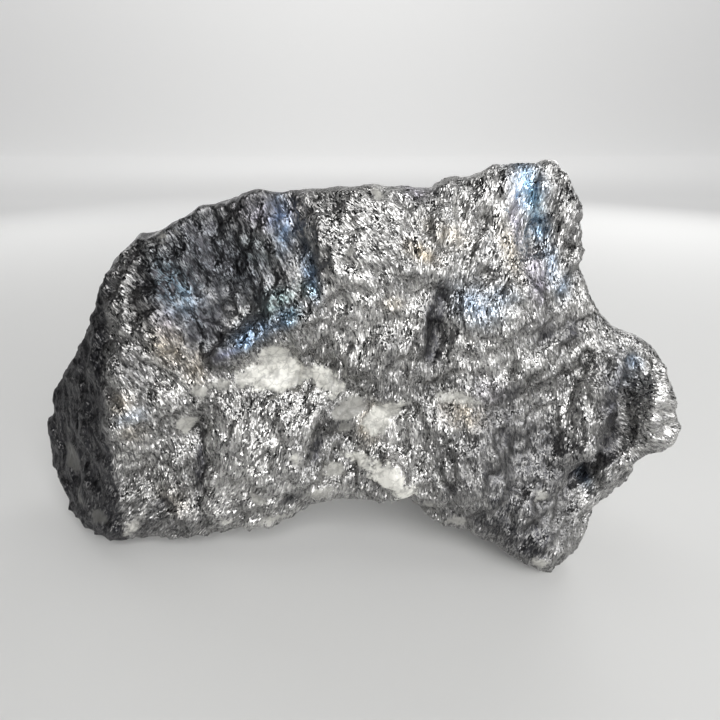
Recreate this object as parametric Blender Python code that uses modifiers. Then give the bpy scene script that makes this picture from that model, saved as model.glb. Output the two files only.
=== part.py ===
"""A hand specimen of massive skutterudite: one broken lump of metallic ore with quartz grown through it.

Metres, +Z up. The broad face that is shown looks along -Y, and the stone stands on the small flats where
its two feet touch the ground at z = 0. All sizes below are in millimetres, and MM turns them into metres.
"""

import math

import bmesh
import bpy
from mathutils import Vector, noise

MM = 0.001

# The stone seen from the front: (x, z) of its edge, clockwise.
OUTLINE = [
    # upper left shoulder and the long top edge
    (-34.5, 54.0), (-31.0, 57.0), (-25.0, 58.0), (-21.5, 60.2), (-13.5, 62.6), (-4.0, 63.8),
    (8.0, 64.6), (13.0, 64.2), (16.5, 64.4),
    # horn
    (19.5, 65.4), (26.0, 67.4), (33.6, 69.0), (37.4, 63.6), (39.6, 56.0), (38.0, 53.3),
    # right shoulder, down to the lobe
    (41.0, 49.0), (43.0, 44.6), (49.6, 41.4), (54.6, 37.6), (57.0, 32.8), (57.2, 26.5),
    (56.2, 23.2), (52.0, 20.2),
    # ledge and right foot
    (51.8, 14.5), (47.5, 9.8), (45.2, 6.8), (45.2, 3.2), (42.4, 1.4), (38.4, 0.5),
    (34.6, 1.8), (29.4, 4.6), (22.0, 7.0),
    # arch
    (16.0, 9.4), (11.0, 12.4), (3.0, 12.2), (-2.0, 10.8), (-8.0, 7.6),
    # left foot
    (-18.0, 4.6), (-26.0, 3.4), (-31.0, 2.9), (-37.0, 3.0), (-41.5, 2.2), (-46.5, 1.2),
    # left flank
    (-53.5, 1.6), (-58.8, 4.4), (-60.2, 9.0), (-59.6, 16.0), (-57.8, 21.5), (-54.2, 27.0),
    (-48.2, 33.5), (-42.6, 40.0), (-38.5, 47.0),
]
# The simpler edge that the hidden side tapers to.
BACK_OUTLINE = [
    (-47.0, 40.0), (-36.0, 53.0), (-14.0, 60.5), (12.0, 62.0), (29.0, 65.0), (35.0, 56.0),
    (40.0, 44.0), (50.0, 32.0), (51.5, 16.0), (41.0, 0.0), (33.0, -1.6), (22.0, -0.8),
    (13.0, 8.5), (3.0, 11.5), (-6.0, 9.0), (-15.0, -0.8), (-34.0, -1.6), (-45.0, 0.5),
    (-55.0, 11.0), (-55.5, 24.0),
]
HUB = (3.0, 36.0)  # the point of the front view that every radius of an outline starts from
ANGLES = 1440  # steps of angle at which an outline's radius is worked out

# The slab that the outline is the edge of. Depths are along Y, and the front is negative.
RIM_DEPTH = -16.0
LEAN = 0.13  # the face leans back by this much for each millimetre of height
TURN = -0.06  # and comes forward by this much for each millimetre towards +X
BACK_DEPTH = 21.0
BACK_LEAN = -0.12
BACK_OUTLINE_FROM = 0.5  # share of the way to the back at which its own edge has taken over
SWELL = 3.5  # how far the middle of the face stands proud of its rim
BOXINESS = 3.6  # exponent of the section: 2 is an ellipse, and more is squarer

# Where the rim leaves the plane of the face.
FLANK = (-41.0, -64.0)  # the left flank turns back between these places in X at the ground
FLANK_SLANT = 0.17  # and this much further right for each millimetre of height
FLANK_DEPTH = 15.0
FLANK_TOP = (30.0, 60.0)  # and does so less and less between these heights
FLANK_TOP_LOSS = 0.5
LOBE = (53.0, 67.0)  # the right lobe turns back between these places in X
LOBE_DEPTH = 4.0
LEDGE = (39.0, 45.0)  # the ledge beside the right foot lies back from here
LEDGE_TOP = (20.0, 15.0)  # and under here
LEDGE_DEPTH = 3.0
FOOT_TIP = (37.0, 0.0)  # the tip of the right foot comes forward
FOOT_REACH = 12.0
FOOT_FORWARD = 2.5

# The forms of the front: (x, z, half length, half width, turn in degrees, rise).
FRONT_FORMS = [
    (-17.0, 50.0, 10.0, 5.5, -80.0, -3.0),  # long hollow of the tarnished upper left
    (-30.0, 35.0, 13.0, 5.0, 77.0, 2.0),  # swelling beside the left flank
    (-5.0, 57.5, 8.0, 3.0, -73.0, -2.4),  # steep dark fall from the top
    (6.0, 54.0, 12.0, 9.5, 9.0, 3.2),  # smooth boss of the middle
    (-12.0, 42.0, 8.5, 2.4, 24.0, 2.6),  # blue lip above the quartz
    (-5.5, 35.0, 9.0, 3.8, -13.0, -2.2),  # hollow that the white quartz fills
    (7.5, 28.0, 6.5, 4.2, -30.0, -2.0),  # grey quartz hollow
    (17.5, 44.0, 5.5, 2.0, 77.0, -3.0),  # dark cleft right of the boss
    (9.0, 40.5, 7.5, 3.0, 31.0, 2.0),  # streaked rib below the boss
    (27.0, 48.0, 10.5, 5.0, 23.0, 2.6),  # shoulder under the horn
    (31.0, 58.0, 10.5, 2.4, -72.0, -1.4),  # trough of the horn
    (36.0, 60.5, 7.5, 2.2, -73.0, 1.4),  # rim right of it
    (35.5, 29.0, 17.0, 4.5, 62.0, -2.4),  # valley running down from the right
    (42.0, 30.0, 11.0, 3.2, 78.0, 2.4),  # bright rib right of it
    (48.0, 29.0, 10.5, 2.2, -87.0, -2.8),  # groove that parts the right lobe
    (52.5, 30.0, 7.5, 3.0, -86.0, 2.0),  # right lobe
    (29.0, 16.0, 11.0, 6.0, -45.0, 2.4),  # breast of the right foot
    (37.5, 7.0, 5.0, 4.5, 48.0, 1.4),  # knob of the right foot
    (42.5, 17.5, 7.5, 2.6, 59.0, -4.6),  # deep dark step above the ledge
    (46.5, 12.5, 6.5, 2.2, 60.0, 1.2),  # ledge
    (10.5, 18.0, 5.5, 3.0, -22.0, 1.6),  # white quartz by the arch
    (-12.0, 22.0, 12.5, 8.5, 11.0, 2.2),  # breast of the left foot
    (-22.5, 18.5, 8.5, 2.2, 78.0, -2.4),  # dark furrow in the left foot
    (-24.5, 25.0, 3.6, 2.6, 45.0, -1.8),  # grey quartz pocket
    (1.5, 20.5, 6.5, 3.2, -86.0, -2.4),  # dip above the arch
    (-36.0, 24.0, 18.0, 3.0, 80.0, 2.0),  # edge that the left flank turns on
    (20.0, 59.0, 5.5, 2.8, 74.0, -1.6),  # dip between the boss and the horn
]

# The forms of the hidden side, which carry the same breaks on.
BACK_FORMS = [
    (-30.0, 38.0, 20.0, 9.0, 50.0, -5.5),
    (-8.0, 22.0, 15.0, 9.0, 15.0, 3.5),
    (12.0, 50.0, 22.0, 8.0, -12.0, -5.0),
    (30.0, 30.0, 16.0, 7.0, 60.0, 3.0),
    (44.0, 18.0, 12.0, 6.0, 35.0, -4.0),
    (-44.0, 16.0, 14.0, 6.0, 75.0, -4.5),
    (2.0, 10.0, 12.0, 5.0, 0.0, -3.5),
]

FORM_SHARPNESS = 1.5  # 1 is a bell, and more has a flatter top and steeper sides
FORM_END = 6.0  # a form has faded out by here, in squared half widths
FORMS_IN_FULL = 0.55  # share of the way from the rim to the face at which the forms have their full rise

# Flat breaks: (a point of the plane, the direction that it faces). What stands past it is pressed onto it.
BREAKS = [
    ((-55.0, 10.0, 14.0), (-0.80, 0.56, -0.10)),  # back of the left flank
    ((-30.0, 17.0, 44.0), (-0.35, 0.80, 0.50)),  # upper left of the back
    ((-8.0, 16.5, 52.0), (0.05, 0.72, 0.68)),  # top of the back
    ((30.0, 9.0, 58.0), (0.30, 0.86, 0.34)),  # back of the horn
    ((50.0, 6.0, 24.0), (0.74, 0.66, 0.10)),  # back of the right lobe
    ((42.0, 12.0, 8.0), (0.55, 0.62, -0.56)),  # under the right lobe
    ((8.0, 23.5, 24.0), (0.05, 0.97, -0.20)),  # middle of the back
    ((-33.0, 21.0, 20.0), (-0.20, 0.96, -0.06)),  # left of the back
    ((-24.0, -3.0, 60.2), (-0.42, 0.10, 0.90)),  # top left
    ((12.0, 3.0, 64.6), (0.02, 0.42, 0.90)),  # top
]
BREAK_HARDNESS = 0.85  # 1 leaves a break dead flat

# Lumps of the broken surface: (size, height).
LUMPS = [(7.5, 1.0), (3.5, 0.6), (1.8, 0.36)]
CHIP_SIZE = 8.0
CHIP_TILT = 0.45
CHIP_BORDER = 0.3  # width of the soft border between two chips, in chips
CHIP_SCATTER = 3.7  # spreads the centres of the chips over the noise that their slopes come from
NOISE_ORIGIN = Vector((17.3, 4.1, 9.6))
NOISE_SEED = 3

SPHERE_SUBDIVISIONS = 7
VOXEL = 0.8  # the lump is remeshed at this size, which closes the folds in its creases
SHARE_OF_TRIANGLES_KEPT = 0.109
GROUND_BLOCK = (160.0, 90.0, 20.0)

ORE_COLOUR = (0.42, 0.42, 0.43, 1.0)
ORE_ROUGHNESS = 0.42


def smooth_step(value, low, high):
    """0 below low, 1 above high, and a smooth rise between. It also falls, where high is under low."""
    share = min(1.0, max(0.0, (value - low) / (high - low)))
    return share * share * (3.0 - 2.0 * share)


def radii_about_hub(outline):
    """Distance from the hub to this closed outline, at ANGLES even steps of angle from -180 degrees."""
    arms = [(x - HUB[0], z - HUB[1]) for x, z in outline]
    polar = sorted((math.atan2(rise, run), math.hypot(run, rise)) for run, rise in arms)
    last, first = polar[-1], polar[0]
    polar = [(last[0] - math.tau, last[1]), *polar, (first[0] + math.tau, first[1])]
    radii = []
    edge = 0
    for step in range(ANGLES):
        angle = math.tau * step / ANGLES - math.pi
        while polar[edge + 1][0] < angle:
            edge += 1
        (before, r_before), (after, r_after) = polar[edge], polar[edge + 1]
        # The edge is a straight line, and this is where a ray from the hub meets it.
        span = r_before * math.sin(angle - before) + r_after * math.sin(after - angle)
        radii.append(r_before * r_after * math.sin(after - before) / span)
    return radii


def radius_at(radii, angle):
    """The radius between the two steps of angle on either side."""
    place = (angle + math.pi) / math.tau * ANGLES
    step = math.floor(place)
    share = place - step
    return (1.0 - share) * radii[step % ANGLES] + share * radii[(step + 1) % ANGLES]


def rim_depth(x, z):
    """Y of the stone's edge at this place of the front view."""
    flank = FLANK_DEPTH * smooth_step(x - FLANK_SLANT * z, *FLANK)
    flank *= 1.0 - FLANK_TOP_LOSS * smooth_step(z, *FLANK_TOP)
    lobe = LOBE_DEPTH * smooth_step(x, *LOBE)
    ledge = LEDGE_DEPTH * smooth_step(x, *LEDGE) * smooth_step(z, *LEDGE_TOP)
    foot = FOOT_FORWARD * smooth_step(math.hypot(x - FOOT_TIP[0], z - FOOT_TIP[1]), FOOT_REACH, 0.0)
    return RIM_DEPTH + LEAN * z + TURN * x + flank + lobe + ledge - foot


def form_rise(forms, x, z):
    """Sum of the rounded swellings and hollows at this place."""
    total = 0.0
    for form_x, form_z, half_length, half_width, turn, rise in forms:
        angle = math.radians(turn)
        along = (x - form_x) * math.cos(angle) + (z - form_z) * math.sin(angle)
        across = (z - form_z) * math.cos(angle) - (x - form_x) * math.sin(angle)
        reach = (along / half_length) ** 2 + (across / half_width) ** 2
        if reach < FORM_END:
            total += rise * math.exp(-(reach**FORM_SHARPNESS))
    return total


def slab_point(front_radii, back_radii, direction):
    """Where this direction of the sphere lands on the slab, in millimetres."""
    spread = math.hypot(direction.x, direction.z)
    depth = abs(direction.y)
    size = (spread**BOXINESS + depth**BOXINESS) ** (1.0 / BOXINESS)
    inward, towards_face = spread / size, depth / size
    angle = math.atan2(direction.z, direction.x)
    radius = radius_at(front_radii, angle)
    if direction.y > 0.0:
        to_back = smooth_step(towards_face, 0.0, BACK_OUTLINE_FROM)
        radius += to_back * (radius_at(back_radii, angle) - radius)
    radius *= inward
    x = HUB[0] + radius * math.cos(angle)
    z = HUB[1] + radius * math.sin(angle)
    rim = rim_depth(x, z)
    form_share = smooth_step(towards_face, 0.0, FORMS_IN_FULL)
    if direction.y < 0.0:
        return Vector((x, rim - towards_face * SWELL - form_share * form_rise(FRONT_FORMS, x, z), z))
    back = BACK_DEPTH + BACK_LEAN * z + form_rise(BACK_FORMS, x, z)
    return Vector((x, rim + towards_face * (back - rim), z))


def press_onto_breaks(point):
    """The point, moved back to each flat break that it stands past."""
    for place, facing in BREAKS:
        normal = Vector(facing).normalized()
        proud = (point - Vector(place)).dot(normal)
        if proud > 0.0:
            point = point - normal * proud * BREAK_HARDNESS
    return point


def chip_height(point):
    """Height of the flat chips that ore breaks into. Each cell of a Voronoi pattern has a slope of its own."""
    distances, centres = noise.voronoi(point / CHIP_SIZE)
    slope = noise.noise_vector(centres[0] * CHIP_SCATTER)
    border = smooth_step(distances[1] - distances[0], 0.0, CHIP_BORDER)
    return (point / CHIP_SIZE - centres[0]).dot(slope) * CHIP_SIZE * CHIP_TILT * border


def roughness(point):
    """Height of the broken surface over the smooth form."""
    place = point + NOISE_ORIGIN
    height = chip_height(place)
    for size, rise in LUMPS:
        height += rise * noise.noise(place / size)
    return height


def middle_of_footprint(places):
    """The middle of the box around these points, on the ground."""
    xs = [place.x for place in places]
    ys = [place.y for place in places]
    return Vector(((min(xs) + max(xs)) / 2.0, (min(ys) + max(ys)) / 2.0, 0.0))


def stone_mesh():
    """The lump, shaped from a fine sphere."""
    noise.seed_set(NOISE_SEED)
    front_radii = radii_about_hub(OUTLINE)
    back_radii = radii_about_hub(BACK_OUTLINE)
    bm = bmesh.new()
    bmesh.ops.create_icosphere(bm, subdivisions=SPHERE_SUBDIVISIONS, radius=1.0)
    for vertex in bm.verts:
        vertex.co = press_onto_breaks(slab_point(front_radii, back_radii, vertex.co.normalized()))
    bm.normal_update()
    places = [vertex.co + vertex.normal * roughness(vertex.co) for vertex in bm.verts]
    middle = middle_of_footprint(places)
    for vertex, place in zip(bm.verts, places):
        vertex.co = (place - middle) * MM
    mesh = bpy.data.meshes.new("skutterudite_mass")
    bm.to_mesh(mesh)
    bm.free()
    return mesh


def ground_cutter():
    """A block whose top is the ground, which takes the flats off the feet."""
    bpy.ops.mesh.primitive_cube_add(size=1.0, location=(0.0, 0.0, -0.5 * GROUND_BLOCK[2] * MM))
    block = bpy.context.object
    block.name = "ground_cutter"
    block.scale = Vector(GROUND_BLOCK) * MM
    bpy.ops.object.transform_apply(location=False, rotation=False, scale=True)
    block.hide_render = True
    block.display_type = "WIRE"
    return block


def ore_material():
    material = bpy.data.materials.new("metallic_ore")
    material.use_nodes = True
    shader = material.node_tree.nodes["Principled BSDF"]
    shader.inputs["Base Color"].default_value = ORE_COLOUR
    shader.inputs["Metallic"].default_value = 1.0
    shader.inputs["Roughness"].default_value = ORE_ROUGHNESS
    return material


def move_to(obj, collection):
    for held_by in list(obj.users_collection):
        held_by.objects.unlink(obj)
    collection.objects.link(obj)


def build():
    for obj in list(bpy.data.objects):
        bpy.data.objects.remove(obj)
    specimen = bpy.data.collections.new("skutterudite_specimen")
    cutters = bpy.data.collections.new("cutters")
    bpy.context.scene.collection.children.link(specimen)
    bpy.context.scene.collection.children.link(cutters)

    mesh = stone_mesh()
    mesh.materials.append(ore_material())
    stone = bpy.data.objects.new("skutterudite_mass", mesh)
    specimen.objects.link(stone)
    cutter = ground_cutter()
    move_to(cutter, cutters)

    even = stone.modifiers.new("even_faces", "REMESH")
    even.mode = "VOXEL"
    even.voxel_size = VOXEL * MM
    coarser = stone.modifiers.new("fewer_triangles", "DECIMATE")
    coarser.ratio = SHARE_OF_TRIANGLES_KEPT
    flats = stone.modifiers.new("resting_flats", "BOOLEAN")
    flats.operation = "DIFFERENCE"
    flats.object = cutter


build()
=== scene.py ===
"""The looks of a hand specimen of massive skutterudite: hackly silver-grey ore with milky quartz grown
through it and a tarnish of blue, teal, violet and bronze.

Metres, +Z up. Sizes and places below are in millimetres, and MM turns them into metres. The broad face
that is shown looks along -Y, so a place on it is given by its x and z.
"""
import math

import bmesh
import bpy
import numpy as np
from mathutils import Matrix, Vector, noise


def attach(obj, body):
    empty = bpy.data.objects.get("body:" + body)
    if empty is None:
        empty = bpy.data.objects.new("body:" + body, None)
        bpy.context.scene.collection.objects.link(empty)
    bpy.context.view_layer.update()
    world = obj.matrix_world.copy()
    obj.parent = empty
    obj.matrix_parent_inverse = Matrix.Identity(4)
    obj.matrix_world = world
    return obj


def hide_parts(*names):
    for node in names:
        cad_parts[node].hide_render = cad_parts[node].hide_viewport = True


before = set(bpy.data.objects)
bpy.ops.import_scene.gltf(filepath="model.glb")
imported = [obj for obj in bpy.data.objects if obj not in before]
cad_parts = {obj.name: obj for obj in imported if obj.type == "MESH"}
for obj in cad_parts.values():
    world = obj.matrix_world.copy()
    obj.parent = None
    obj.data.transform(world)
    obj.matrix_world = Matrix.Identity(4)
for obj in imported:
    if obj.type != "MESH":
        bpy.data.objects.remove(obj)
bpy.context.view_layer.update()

MM = 0.001
STONE = "skutterudite_mass"
NOISE_SEED = 3

# The fine mesh of the stone.
JOIN_REACH = 0.001  # corners of the solid's loose triangles that are this near each other are joined
MESH_STEP = 0.53  # side of its faces
SMOOTHINGS = 4  # rounds that take the solid's flat faces out
SMOOTHING = 0.5  # how far a round moves each corner towards the middle of its neighbours
GROUND_REACH = 0.05  # what is this near the ground stays on it
GROUND_FADE = (0.0, 1.5)  # the relief fades in between these heights

# Relief of the broken ore.
CHIPS = [(6.0, 0.20), (3.0, 0.20), (1.7, 0.14)]  # flat chips with a slope of their own: size, slope
CHIP_SEAM = 0.16  # width of the soft seam between two chips, in chips
CHIP_DRAW = 91.7  # another number gives the chips other slopes
RIDGES = [(2.7, 6.5, 0.38), (1.1, 3.6, 0.20)]  # ridges that run with the grain: width, length, height
RIDGE_CREST = 0.64  # where the crest of a ridge stands, in ridge heights
RIDGE_FALL = 3.2  # how steeply a ridge falls from its crest
LUMPS = [(2.4, 0.20), (1.2, 0.10)]  # size, height
NOISE_ORIGIN = Vector((31.7, 12.4, 5.9))
LEAST_SHARE = 0.12  # a grain line that counts less than this at a place is left out there
RIDGE_RANGE = (-0.9, 0.55)  # heights of the bottom of a hollow and the top of a ridge
RIM_RELIEF = 0.34  # share of the relief that is left where the stone turns away from the front
RIM = (0.25, 0.75)  # how far a place faces forward or back, from the rim to the full relief
RIM_DEPTH = (0.0, 9.0)  # the rim has its full relief again behind these depths

# Clean edges of the outline, seen from the front: (x, z, which way is out in degrees, half length).
EDGE_TRIMS = [
    (21.0, 65.6, 115.0, 4.0),  # rise to the horn
    (29.2, 67.6, 96.0, 5.4),  # top of the horn
    (36.4, 65.0, 29.0, 4.0),  # right edge of the horn
    (38.5, 59.2, 6.0, 3.2),
    (51.0, 16.0, -29.0, 3.0),  # ledge beside the right foot
    (-54.0, 3.6, 222.0, 6.0),  # lower left corner
]
TRIM_HARDNESS = 0.9  # share of what stands outside an edge that is pressed back
TRIM_ENDS = (1.3, 0.9)  # the press fades in between these, in half lengths from the middle of the edge

# Cracks and pits of the front: (x, z, half length, half width, turn, depth).
DENTS = [
    (18.0, 45.4, 5.4, 1.6, 80.0, 0.9),  # core of the cleft right of the boss
    (-21.6, 19.0, 6.5, 0.9, 84.0, 0.9),  # furrow in the left foot
    (46.6, 22.0, 4.6, 0.6, 66.0, 0.3),  # foot of the step above the ledge
    (43.0, 13.4, 3.6, 0.6, 56.0, 0.3),
    (48.2, 33.0, 5.0, 0.9, -84.0, 0.9),  # groove beside the right lobe
    (-15.7, 28.0, 0.6, 0.6, 0.0, 1.1),  # small pit
    (1.6, 34.6, 1.6, 0.6, -50.0, 0.6),  # between the two quartz blocks
    (-4.2, 35.6, 2.2, 0.5, 78.0, 0.8),
    (6.4, 29.6, 2.4, 0.7, 10.0, 0.5),
    (-1.4, 22.0, 4.0, 0.7, 84.0, 0.8),
    (36.0, 43.0, 5.0, 0.8, 40.0, 0.7),
    (-8.2, 52.0, 5.6, 0.8, -76.0, 0.7),
    (32.4, 55.0, 4.6, 0.8, -70.0, 0.6),
]

# Relief of the quartz: rounded knobs that stand in a smoother surface.
QUARTZ_SMOOTHNESS = 0.72  # share of the ore's relief that the quartz doesn't have
QUARTZ_KNOB = 2.3  # size of a knob
QUARTZ_KNOB_HEIGHT = 0.24
QUARTZ_RISE = 0.18  # how far the quartz stands out of the ore
QUARTZ_EDGE = (-0.3, 0.4)  # this relief fades in between these depths inside a patch
QUARTZ_EXTRA = 0.3  # a patch has this much more of this relief than its strength says

# Which way the grain of the break runs: (x, z, degrees from upright towards -X, reach).
GRAIN_LINES = [
    (-28.0, 48.0, 38.0, 9.0),
    (-22.0, 40.0, 30.0, 9.0),
    (-14.0, 50.0, 22.0, 9.0),
    (-8.0, 58.0, 24.0, 7.0),
    (-14.0, 40.0, 14.0, 7.0),
    (0.0, 56.0, 30.0, 6.0),
    (6.0, 58.0, 52.0, 6.0),
    (10.0, 52.0, 34.0, 6.0),
    (3.0, 48.0, 20.0, 6.0),
    (8.0, 42.0, -8.0, 7.0),
    (4.0, 34.0, -6.0, 8.0),
    (22.0, 55.0, -18.0, 8.0),
    (30.0, 62.0, -6.0, 8.0),
    (30.0, 46.0, 20.0, 8.0),
    (40.0, 40.0, 22.0, 9.0),
    (24.0, 32.0, 12.0, 9.0),
    (36.0, 24.0, 10.0, 9.0),
    (54.0, 30.0, 78.0, 6.0),
    (47.0, 13.0, -26.0, 7.0),
    (38.0, 8.0, -14.0, 7.0),
    (-8.0, 22.0, -10.0, 9.0),
    (-26.0, 22.0, 16.0, 9.0),
    (-34.0, 10.0, -38.0, 8.0),
    (-14.0, 11.0, -42.0, 8.0),
    (-38.0, 34.0, 20.0, 8.0),
    (-50.0, 16.0, 4.0, 9.0),
]

LEAST_WEIGHT = 1e-6  # what a grain line that is far away still weighs

# Patches of the front, each a turned oval: (x, z, half length, half width, turn in degrees, strength).
QUARTZ_PATCHES = [
    (-8.2, 38.0, 3.0, 2.0, 40.0, 0.74),  # main patch, its upper part
    (-7.6, 35.0, 5.0, 2.5, 4.0, 0.95),
    (-12.0, 34.6, 2.8, 1.3, 12.0, 0.75),
    (-0.4, 34.4, 3.6, 1.8, -18.0, 0.9),  # second block
    (-16.4, 33.9, 3.6, 0.9, 4.0, 0.5),  # grey vein to the left
    (-20.2, 32.6, 1.3, 1.5, 40.0, 0.45),
    (-23.6, 26.2, 1.7, 2.8, -24.0, 0.5),  # grey pocket
    (-4.6, 22.2, 0.8, 0.9, 0.0, 0.7),
    (-12.8, 19.6, 0.8, 0.6, 60.0, 0.5),
    (-11.4, 13.4, 1.8, 1.0, -30.0, 0.45),
    (1.6, 18.2, 1.7, 1.5, 30.0, 0.5),
    (-0.6, 14.2, 2.4, 1.1, 14.0, 0.45),
    (-8.6, 9.2, 3.0, 0.9, 16.0, 0.5),
    (-17.4, 8.2, 0.8, 0.7, 0.0, 0.6),
    (-35.0, 6.6, 3.0, 1.0, 52.0, 0.6),  # white corner by the left foot
    (0.8, 31.8, 0.9, 0.6, 0.0, 1.0),  # white speck
    (4.2, 29.4, 3.6, 2.6, 20.0, 0.3),  # grey brown quartz under the boss
    (3.6, 26.0, 2.2, 1.6, -60.0, 0.26),
    (9.0, 27.6, 2.8, 1.8, 40.0, 0.9),
    (12.0, 30.4, 1.6, 0.9, 30.0, 0.8),
    (6.6, 20.4, 2.2, 0.9, -14.0, 1.1),  # cream quartz above the arch
    (10.4, 18.8, 3.0, 1.9, -20.0, 1.35),
    (13.4, 16.0, 2.0, 1.7, -50.0, 1.3),
    (17.8, 12.4, 3.4, 1.0, 22.0, 0.3),
    (22.6, 9.0, 2.8, 1.2, -10.0, 0.3),
    (20.2, 32.2, 1.5, 0.8, 10.0, 0.66),  # bluish white quartz
    (23.2, 32.0, 2.0, 1.0, -18.0, 0.56),
    (36.4, 16.0, 1.0, 0.9, 0.0, 0.42),
    (32.0, 15.8, 0.6, 0.5, 0.0, 0.42),
    (36.6, 4.6, 1.8, 1.1, 14.0, 0.5),  # tip of the right foot
    (51.4, 19.8, 0.7, 0.9, 30.0, 0.8),
    (-53.0, 20.0, 4.6, 1.2, -14.0, 0.14),  # on the left flank
    (-49.4, 14.0, 3.0, 3.4, 20.0, 0.04),
    (-47.0, 8.6, 1.6, 2.4, 30.0, 0.1),
    (-41.6, 7.4, 2.2, 1.6, 50.0, 0.08),
    (-25.2, 57.0, 2.2, 1.0, 4.0, 0.34),  # cream film on the upper left edge
    (8.5, 63.6, 0.6, 0.8, 20.0, 0.6),
    (4.1, 55.8, 1.6, 1.1, 20.0, 0.3),
]
BACK_QUARTZ_PATCHES = [
    (-20.0, 26.0, 4.6, 2.6, 32.0, 0.8),
    (-24.4, 22.4, 2.6, 2.0, -20.0, 0.5),
    (-15.6, 29.6, 3.4, 1.4, 50.0, 0.6),
    (-9.0, 31.5, 4.0, 1.7, 2.0, 0.7),
    (-2.6, 33.4, 3.4, 0.8, 24.0, 0.45),
    (6.0, 34.0, 4.4, 0.9, -8.0, 0.4),
    (24.0, 20.0, 2.6, 2.2, -30.0, 0.7),
    (21.4, 16.4, 1.4, 1.9, 10.0, 0.4),
    (34.0, 46.0, 2.4, 1.2, 50.0, 0.5),
    (-34.0, 9.0, 2.6, 1.4, 10.0, 0.5),
    (12.0, 56.0, 2.0, 0.8, -12.0, 0.4),
    (45.0, 30.0, 1.2, 1.0, 0.0, 0.5),
]

BLUE_PATCHES = [
    (30.4, 64.4, 2.0, 4.0, 20.0, 0.9),  # horn
    (32.6, 59.4, 1.2, 3.6, 20.0, 0.8),
    (34.6, 54.0, 1.0, 4.0, 12.0, 0.5),
    (36.8, 50.4, 1.4, 2.0, 0.0, 0.45),
    (23.6, 47.6, 3.6, 2.6, -20.0, 0.5),
    (26.5, 49.0, 3.0, 1.6, 10.0, 0.35),
    (-11.2, 42.2, 4.6, 1.7, 30.0, 1.0),  # lip above the quartz
    (-6.0, 45.0, 3.0, 1.5, 34.0, 0.8),
    (-6.2, 59.0, 1.6, 4.2, 8.0, 1.0),
    (-1.6, 52.0, 1.2, 3.4, 14.0, 0.9),
    (-22.4, 48.2, 2.6, 6.0, 34.0, 0.7),
    (-20.4, 44.4, 2.0, 4.0, 26.0, 0.36),
    (-16.0, 53.0, 9.0, 5.0, -30.0, 0.3),
    (49.0, 38.2, 1.3, 1.3, 0.0, 0.8),
    (47.8, 36.2, 2.4, 3.0, 0.0, 0.3),
    (45.2, 16.4, 0.9, 1.9, 14.0, 0.6),
    (-31.4, 29.2, 2.2, 1.6, 0.0, 0.35),
]
TEAL_PATCHES = [
    (31.6, 62.4, 1.0, 4.4, 20.0, 0.4),
    (-7.2, 47.4, 3.0, 1.6, 30.0, 0.8),
    (-4.6, 46.0, 1.6, 1.2, 20.0, 0.5),
    (-23.6, 50.2, 2.8, 4.0, 30.0, 0.5),
    (-10.4, 55.0, 3.4, 2.4, -20.0, 0.3),
    (-2.2, 49.6, 1.4, 1.0, 0.0, 0.5),
]
VIOLET_PATCHES = [
    (32.4, 51.6, 1.6, 3.2, 12.0, 0.5),
    (29.2, 60.0, 0.9, 4.0, 12.0, 0.4),
    (-8.4, 60.2, 4.6, 2.2, -8.0, 0.45),
    (-24.6, 44.8, 1.8, 3.2, 20.0, 0.3),
    (-15.4, 39.4, 2.2, 1.0, 20.0, 0.5),
    (14.4, 64.0, 2.2, 1.4, 0.0, 0.4),
    (27.0, 33.4, 2.6, 2.0, 0.0, 0.2),
]
BRONZE_PATCHES = [
    (-24.4, 40.4, 2.6, 3.6, 18.0, 0.5),
    (-20.8, 36.6, 1.8, 3.0, 12.0, 0.5),
    (-32.8, 31.2, 2.0, 1.8, 0.0, 0.6),
    (-31.4, 26.4, 1.8, 2.6, 0.0, 0.3),
    (15.0, 55.6, 2.6, 1.0, -30.0, 0.65),
    (18.8, 58.0, 3.4, 1.4, -20.0, 0.35),
    (22.6, 30.0, 3.2, 2.0, -20.0, 0.5),
    (11.0, 48.0, 1.6, 1.2, 0.0, 0.35),
    (7.6, 26.6, 1.8, 3.4, -10.0, 0.5),
    (-9.4, 36.8, 3.0, 0.8, 40.0, 0.4),
    (-27.0, 12.0, 3.0, 2.0, -40.0, 0.25),
    (28.4, 55.6, 1.2, 4.0, 20.0, 0.4),
]
# Shine: painted light on the bright places of the front, which also have a silkier, calmer ore.
SHINE_AND_PAINTED_LIGHT_PATCHES = [
    (4.6, 51.0, 5.0, 10.0, 6.0, 0.9),  # silky boss, with painted light
    (13.0, 51.0, 8.0, 5.0, -10.0, 0.6),
    (11.0, 62.0, 11.0, 2.8, 4.0, 0.35),
    (5.0, 42.0, 4.0, 5.0, 0.0, 0.8),
    (11.5, 38.0, 5.4, 4.0, 0.0, 0.6),
    (28.4, 63.0, 5.4, 6.4, 0.0, 1.0),  # horn
    (34.4, 60.0, 3.4, 5.0, 0.0, 0.2),
    (37.0, 50.0, 3.0, 4.0, 0.0, 0.2),
    (22.0, 44.0, 3.0, 5.0, 0.0, 0.8),
    (27.4, 38.0, 4.6, 4.0, -20.0, 0.9),
    (40.0, 31.0, 4.4, 4.6, -30.0, 0.8),
    (54.0, 31.0, 3.2, 6.4, 6.0, 1.2),  # right lobe
    (47.4, 13.4, 4.6, 2.4, 48.0, 1.0),  # ledge beside the right foot
    (40.0, 8.4, 2.4, 4.0, -20.0, 0.6),
    (11.6, 25.0, 6.4, 4.4, 0.0, 1.0),
    (-5.0, 30.0, 4.4, 3.4, 0.0, 0.7),
    (-16.2, 20.6, 4.6, 9.0, 0.0, 1.0),  # breast of the left foot
    (-7.0, 20.0, 5.6, 8.0, 0.0, 0.75),
    (-30.6, 24.0, 3.4, 5.4, 0.0, 0.8),
    (-12.0, 42.6, 3.4, 2.4, 20.0, 0.7),  # lip above the quartz
]
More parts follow.
